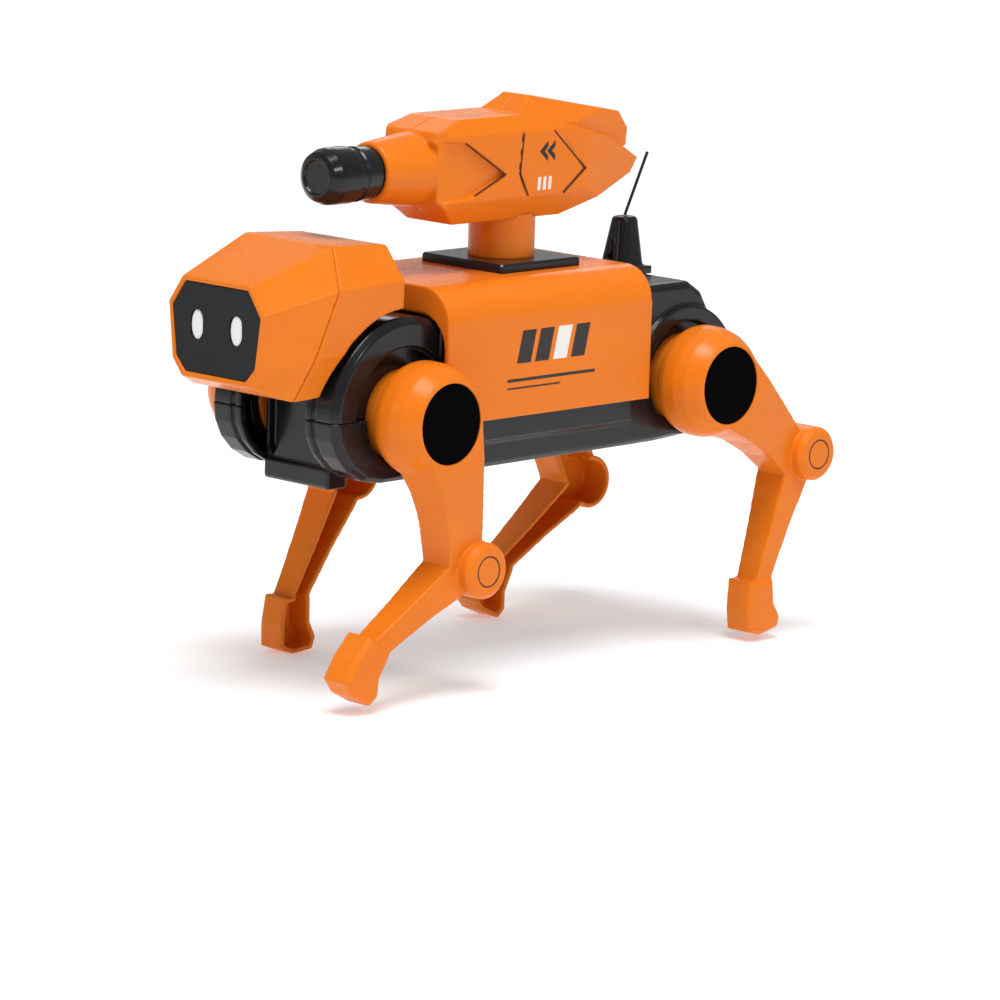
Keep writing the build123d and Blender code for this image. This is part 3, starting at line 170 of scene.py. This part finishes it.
ORANGE = plastic("orange_moulding", (0.82, 0.195, 0.010, 1), (0.79, 0.185, 0.008, 1),
                 (0.93, 0.28, 0.03, 1), rough=0.26, peel=0.025, coat=0.0, gloss=0.2)
BLACK = plastic("black_moulding", (0.009, 0.0095, 0.011, 1), (0.006, 0.0065, 0.008, 1),
                (0.035, 0.036, 0.04, 1), rough=0.2, peel=0.04, coat=0.15, gloss=0.28)
PANEL = plastic("black_panel", (0.012, 0.013, 0.015, 1), (0.008, 0.008, 0.01, 1),
                (0.03, 0.03, 0.034, 1), rough=0.34, peel=0.05, coat=0.0, gloss=0.18)
CAP = plastic("cap_black", (0.0006, 0.0006, 0.0006, 1), (0.0004, 0.0004, 0.0004, 1),
              (0.002, 0.002, 0.002, 1), rough=0.6, peel=0.06, coat=0.0, gloss=0.02)
WHITE = plastic("eye_white", (0.88, 0.88, 0.86, 1), (0.8, 0.8, 0.79, 1), (0.95, 0.95, 0.95, 1),
                rough=0.2, peel=0.02, coat=0.5)
INK_DARK = plastic("ink_dark", (0.02, 0.016, 0.014, 1), (0.014, 0.011, 0.01, 1),
                   (0.05, 0.04, 0.035, 1), rough=0.42, peel=0.12, coat=0.0, round_edge=0.02 * MM)
INK_WHITE = plastic("ink_white", (0.86, 0.85, 0.82, 1), (0.78, 0.77, 0.74, 1), (0.93, 0.93, 0.92, 1),
                    rough=0.42, peel=0.12, coat=0.0, round_edge=0.02 * MM)
# painted shade: dark orange that stands for the shadow inside grooves and recesses
GROOVE_SHADE = plastic("groove_shadow", (0.055, 0.012, 0.003, 1), (0.04, 0.009, 0.002, 1),
                 (0.25, 0.05, 0.01, 1), rough=0.6, peel=0.1, coat=0.0, round_edge=0.02 * MM)
NYLON = plastic("gear_nylon", (0.80, 0.79, 0.74, 1), (0.74, 0.72, 0.66, 1), (0.88, 0.87, 0.84, 1),
                rough=0.42, peel=0.12, coat=0.0, round_edge=0.1 * MM)
BOARD = plastic("board_green", (0.02, 0.16, 0.05, 1), (0.015, 0.12, 0.04, 1), (0.05, 0.26, 0.1, 1),
                rough=0.35, peel=0.2, coat=0.3, round_edge=0.1 * MM)
PACKAGE = plastic("component_black", (0.02, 0.02, 0.02, 1), (0.014, 0.014, 0.014, 1),
                  (0.05, 0.05, 0.05, 1), rough=0.5, peel=0.2, coat=0.0, round_edge=0.1 * MM)
SLEEVE = plastic("cell_sleeve", (0.03, 0.035, 0.06, 1), (0.02, 0.024, 0.045, 1), (0.1, 0.1, 0.13, 1),
                 rough=0.3, peel=0.05, coat=0.4)
STEEL = metal("steel", (0.62, 0.62, 0.61, 1), 0.3, (1.0, 0.1, 1.0))
CAN = metal("motor_steel", (0.60, 0.60, 0.58, 1), 0.34, (0.08, 1.0, 1.0))
NICKEL = metal("contact_plate", (0.74, 0.72, 0.66, 1), 0.22)
SLOT_MATERIAL = {"orange_shell": ORANGE, "black_moulding": BLACK, "black_panel": PANEL,
                 "eye_white": WHITE, "gear_nylon": NYLON, "steel": STEEL, "motor_steel": CAN,
                 "cell_sleeve": SLEEVE, "contact_plate": NICKEL, "board_green": BOARD,
                 "component_black": PACKAGE, "socket_white": INK_WHITE}


for node, obj in nodes.items():
    obj.data.materials.clear()
    obj.data.materials.append(CAP if node.endswith("_hip_cap") else SLOT_MATERIAL[slot_of[node]])


# ---------------------------------------------------------------- mesh helpers
def piece(name, vertices, faces, material, body, smooth=False):
    """Make one mesh piece that rides on a body."""
    mesh = bpy.data.meshes.new(name)
    mesh.from_pydata([tuple(v) for v in vertices], [], faces)
    bm = bmesh.new()
    bm.from_mesh(mesh)
    bmesh.ops.recalc_face_normals(bm, faces=bm.faces)
    bm.to_mesh(mesh)
    bm.free()
    mesh.materials.append(material)
    for polygon in mesh.polygons:
        polygon.use_smooth = smooth
    obj = bpy.data.objects.new(name, mesh)
    bpy.context.scene.collection.objects.link(obj)
    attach(obj, body)
    return obj


def plates(name, outlines, place, lift, thick, material, body):
    """Thin shapes for printed marks and for dark strips of painted shade in grooves: each outline
    becomes a low prism, put in space by place(u, v, height).
    """
    vertices, faces = [], []
    for outline in outlines:
        start, count = len(vertices), len(outline)
        vertices += [place(u, v, lift) for u, v in outline]
        vertices += [place(u, v, lift + thick) for u, v in outline]
        faces.append([start + i for i in reversed(range(count))])
        faces.append([start + count + i for i in range(count)])
        for i in range(count):
            j = (i + 1) % count
            faces.append([start + i, start + j, start + count + j, start + count + i])
    return piece(name, vertices, faces, material, body)


def moulded(node, voxel, passes):
    """Skin that stands for a CAD node: the same shape with the soft corners of a moulding."""
    source = nodes[node]
    mesh = bpy.data.meshes.new("skin")
    bm = bmesh.new()
    bm.from_mesh(source.data)
    bmesh.ops.remove_doubles(bm, verts=bm.verts, dist=0.002 * MM)
    bm.to_mesh(mesh)
    bm.free()
    draft = bpy.data.objects.new(f"skin_{node}", mesh)
    bpy.context.scene.collection.objects.link(draft)
    remesh = draft.modifiers.new("remesh", "REMESH")
    remesh.mode, remesh.voxel_size, remesh.use_smooth_shade = "VOXEL", voxel, True
    smooth = draft.modifiers.new("smooth", "SMOOTH")
    smooth.factor, smooth.iterations = 0.5, passes
    depsgraph = bpy.context.evaluated_depsgraph_get()
    shown = bpy.data.meshes.new_from_object(draft.evaluated_get(depsgraph))
    draft.modifiers.clear()
    shown.materials.clear()
    shown.materials.append(source.data.materials[0])
    draft.data = shown
    shown.polygons.foreach_set("use_smooth", [True] * len(shown.polygons))
    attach(draft, body_of[node])
    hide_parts(node)
    return draft


# voxel size, smoothing passes and the nodes that get them; more passes round the corners more
LEGS = [f"{side}_{end}_leg" for side in ("left", "right") for end in ("front", "rear")]
HULLS = ["head_front_shell", "head_rear_shell", "turret_left_half", "turret_right_half"]
BODYWORK = ["upper_chassis", "lower_chassis", "body_cover", "chin_block", "antenna_base"]
for voxel, passes, group in ((0.32 * MM, 10, LEGS), (0.34 * MM, 4, HULLS), (0.36 * MM, 3, BODYWORK)):
    for node in group:
        moulded(node, voxel, passes)


# ---------------------------------------------------------------- printed marks and painted groove shade
def on_saddle(y, z, height):
    return Vector((31.0 + height, y, z)) * MM


def mirrored(place):
    def put(u, v, height):
        p = place(u, v, height)
        return Vector((-p.x, p.y, p.z))
    return put


def slanted_bar(y, z, width, height, lean=2.2):
    return [(y, z), (y + width, z), (y + width + lean, z + height), (y + lean, z + height)]


BAR_Y, BAR_Z, BAR_PITCH, BAR_WIDTH, BAR_HEIGHT = -20.0, 91.6, 7.4, 5.6, 9.4
DARK_BARS = [slanted_bar(BAR_Y + BAR_PITCH * i, BAR_Z, BAR_WIDTH, BAR_HEIGHT) for i in (0, 1, 3)]
WHITE_BARS = [slanted_bar(BAR_Y + BAR_PITCH * 2, BAR_Z, BAR_WIDTH, BAR_HEIGHT)]
RULE = [[(-23.6, 86.4), (12.4, 86.4), (12.4, 87.3), (-23.6, 87.3)],
        [(-23.6, 84.3), (-2.0, 84.3), (-2.0, 84.8), (-23.6, 84.8)]]
for side, place in (("left", on_saddle), ("right", mirrored(on_saddle))):
    plates(f"saddle_marks_{side}", DARK_BARS + RULE, place, -0.02, 0.05, INK_DARK, "chassis")
    plates(f"saddle_mark_white_{side}", WHITE_BARS, place, -0.02, 0.05, INK_WHITE, "chassis")


def ring(centre, outer, inner, count=40):
    """Two half rings, so that each is a plain outline."""
    halves = []
    for first in (0, pi):
        angles = [first + pi * i / (count // 2) for i in range(count // 2 + 1)]
        halves.append([(centre[0] + outer * cos(a), centre[1] + outer * sin(a)) for a in angles]
                      + [(centre[0] + inner * cos(a), centre[1] + inner * sin(a))
                         for a in reversed(angles)])
    return halves


def on_turret(y, z, height):
    return Vector((12.5 + height, y, z)) * MM


CHEVRONS = [[(6.0, 148.6), (9.4, 151.6), (9.4, 149.8), (8.0, 148.6), (9.4, 147.4), (9.4, 145.6)],
            [(9.0, 148.6), (12.4, 151.6), (12.4, 149.8), (11.0, 148.6), (12.4, 147.4), (12.4, 145.6)]]
TICKS = [[(5.4 + 2.2 * i, 137.4), (6.6 + 2.2 * i, 137.4), (6.9 + 2.2 * i, 141.2), (5.7 + 2.2 * i, 141.2)]
         for i in range(3)]
for side, place in (("left", on_turret), ("right", mirrored(on_turret))):
    plates(f"turret_mark_{side}", CHEVRONS, place, -0.03, 0.07, INK_DARK, "turret")
    plates(f"turret_ticks_{side}", TICKS, place, -0.03, 0.07, INK_WHITE, "turret")


def strip(points, width):
    """Outlines of a line of the given width drawn through points, one four-sided outline a run."""
    outlines = []
    for (y0, z0), (y1, z1) in zip(points, points[1:]):
        length = ((y1 - y0) ** 2 + (z1 - z0) ** 2) ** 0.5
        along = ((y1 - y0) / length * width / 2, (z1 - z0) / length * width / 2)
        out = (-along[1], along[0])
        outlines.append([(y0 - along[0] - out[0], z0 - along[1] - out[1]),
                         (y1 + along[0] - out[0], z1 + along[1] - out[1]),
                         (y1 + along[0] + out[0], z1 + along[1] + out[1]),
                         (y0 - along[0] + out[0], z0 - along[1] + out[1])])
    return outlines


# painted shade: dark strips sunk into the turret sides along the panel groove and the recess edge
SHADE_DEPTH, PANEL_SHADE_WIDTH, RECESS_SHADE_WIDTH = -0.4, 0.55, 0.35
PANEL_EDGE = [(-0.6, 154.2), (12.0, 154.2), (25.3, 142.6), (16.7, 136.3), (1.7, 136.3), (-1.8, 142.9)]
for side, place in (("left", on_turret), ("right", mirrored(on_turret))):
    plates(f"turret_groove_shade_{side}", strip(PANEL_EDGE[:1] + PANEL_EDGE[5:3:-1], PANEL_SHADE_WIDTH)
           + strip(PANEL_EDGE[1:4], PANEL_SHADE_WIDTH), place, SHADE_DEPTH, 0.42, GROOVE_SHADE, "turret")

# painted shade: a dark strip along the upper edges of the turret's recess
NOTCH_EDGE = [(-24.0, 152.6), (-7.8, 142.8), (-20.0, 137.6)]
for side, place in (("left", on_turret), ("right", mirrored(on_turret))):
    plates(f"turret_recess_shade_{side}", strip(NOTCH_EDGE, RECESS_SHADE_WIDTH), place, SHADE_DEPTH, 0.41, GROOVE_SHADE,
           "turret")

# turn of each leg about its hip axis at rest, in degrees; the knee rings of painted groove shade follow
# it
REST_TURN = {"left_front": -19.5, "left_rear": 19.5, "right_front": 13.5, "right_rear": -13.5}
KNEE, KNEE_FACE = (28.5, -35.8), 44.9
HIP_Y, HIP_Z, RING_OUTER, RING_INNER = 58.0, 79.6, 4.52, 4.08
for leg, degrees in REST_TURN.items():
    t = radians(degrees)
    hip_y = -HIP_Y if leg.endswith("front") else HIP_Y
    centre = (hip_y + KNEE[0] * cos(t) - KNEE[1] * sin(t),
              HIP_Z + KNEE[0] * sin(t) + KNEE[1] * cos(t))

    def on_knee(y, z, height):
        return Vector((KNEE_FACE + height, y, z)) * MM
    # painted shade: a dark sunk ring standing for the shadow in the engraved groove round each knee
    plates(f"{leg}_knee_groove_shade", ring(centre, RING_OUTER, RING_INNER), on_knee if leg.startswith("left")
           else mirrored(on_knee), -0.5, 0.51, GROOVE_SHADE, leg)

# ---------------------------------------------------------------- eyes
eye_low, eye_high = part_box("eye_lenses")
EYE_X, EYE_HALF_WIDTH = 7.9 * MM, 2.35 * MM
eye_z, eye_half_height = (eye_low[2] + eye_high[2]) / 2, (eye_high[2] - eye_low[2]) / 2
eye_face = eye_low[1]
EYE_DOME, RINGS, AROUND = 0.5 * MM, 8, 40
for side, sign in (("left", 1), ("right", -1)):
    vertices, faces = [], []
    for i in range(RINGS + 1):
        share = i / RINGS
        for k in range(AROUND):
            a = 2 * pi * k / AROUND
            vertices.append((sign * EYE_X + EYE_HALF_WIDTH * share * cos(a),
                             eye_face + EYE_DOME * share ** 3, eye_z + eye_half_height * share * sin(a)))
    for i in range(RINGS):
        for k in range(AROUND):
            n = (k + 1) % AROUND
            faces.append((i * AROUND + k, i * AROUND + n, (i + 1) * AROUND + n, (i + 1) * AROUND + k))
    eye = piece(f"eye_{side}", vertices, faces, WHITE, "chassis", smooth=True)
    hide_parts("eye_lenses")

# ---------------------------------------------------------------- stage and light
FLOOR_REACH, FLOOR_GLOW, WORLD_STRENGTH = 6.0, 0.3, 0.36
floor_mesh = bpy.data.meshes.new("floor")
floor_mesh.from_pydata([(FLOOR_REACH * x, FLOOR_REACH * y, 0)
                        for x, y in ((-1, -1), (1, -1), (1, 1), (-1, 1))],
                       [], [(0, 1, 2, 3)])
floor = bpy.data.objects.new("floor", floor_mesh)
bpy.context.scene.collection.objects.link(floor)
floor_graph = Graph("floor_paper")
floor_graph.set("Base Color", floor_graph.mix(floor_graph.noise(3.0), (0.8, 0.8, 0.8, 1),
                                              (0.84, 0.84, 0.84, 1)))
floor_graph.set("Emission Color", (1.0, 1.0, 1.0, 1))
floor_graph.set("Emission Strength", FLOOR_GLOW)
floor_graph.set("Roughness", 0.85)
floor_mesh.materials.append(floor_graph.material)

world = bpy.data.worlds.new("studio")
bpy.context.scene.world = world
world.use_nodes = True
world.node_tree.nodes["Background"].inputs["Color"].default_value = (1.0, 1.0, 1.0, 1.0)
world.node_tree.nodes["Background"].inputs["Strength"].default_value = WORLD_STRENGTH
bpy.context.scene.view_settings.view_transform = "Standard"


def softbox(name, place, aim, width, height, watts, shine=1.0):
    """Rectangular area light that looks at a point."""
    data = bpy.data.lights.new(name, "AREA")
    data.shape, data.size, data.size_y, data.energy = "RECTANGLE", width, height, watts
    data.specular_factor = shine
    lamp = bpy.data.objects.new(name, data)
    bpy.context.scene.collection.objects.link(lamp)
    lamp.location = place
    lamp.rotation_mode = "QUATERNION"
    lamp.rotation_quaternion = (Vector(aim) - Vector(place)).to_track_quat("-Z", "Y")


MIDDLE = (0.0, 0.0, 0.09)
sun = bpy.data.lights.new("sky_panel", "SUN")
sun.energy, sun.angle, sun.specular_factor = 1.75, radians(28.0), 0.15
sky_panel = bpy.data.objects.new("sky_panel", sun)
bpy.context.scene.collection.objects.link(sky_panel)
sky_panel.rotation_mode = "QUATERNION"
sky_panel.rotation_quaternion = Vector((-0.25, 0.25, -1.0)).to_track_quat("-Z", "Y")
softbox("key", (0.10, -0.15, 0.95), MIDDLE, 0.40, 0.25, 1.6, 0.3)
softbox("side", (0.75, -0.10, 0.62), MIDDLE, 0.22, 0.14, 1.2)
softbox("front", (-0.35, -0.85, 0.40), MIDDLE, 0.25, 0.25, 0.4)
softbox("back", (-0.60, 0.60, 0.50), MIDDLE, 0.40, 0.25, 0.6, 0.4)
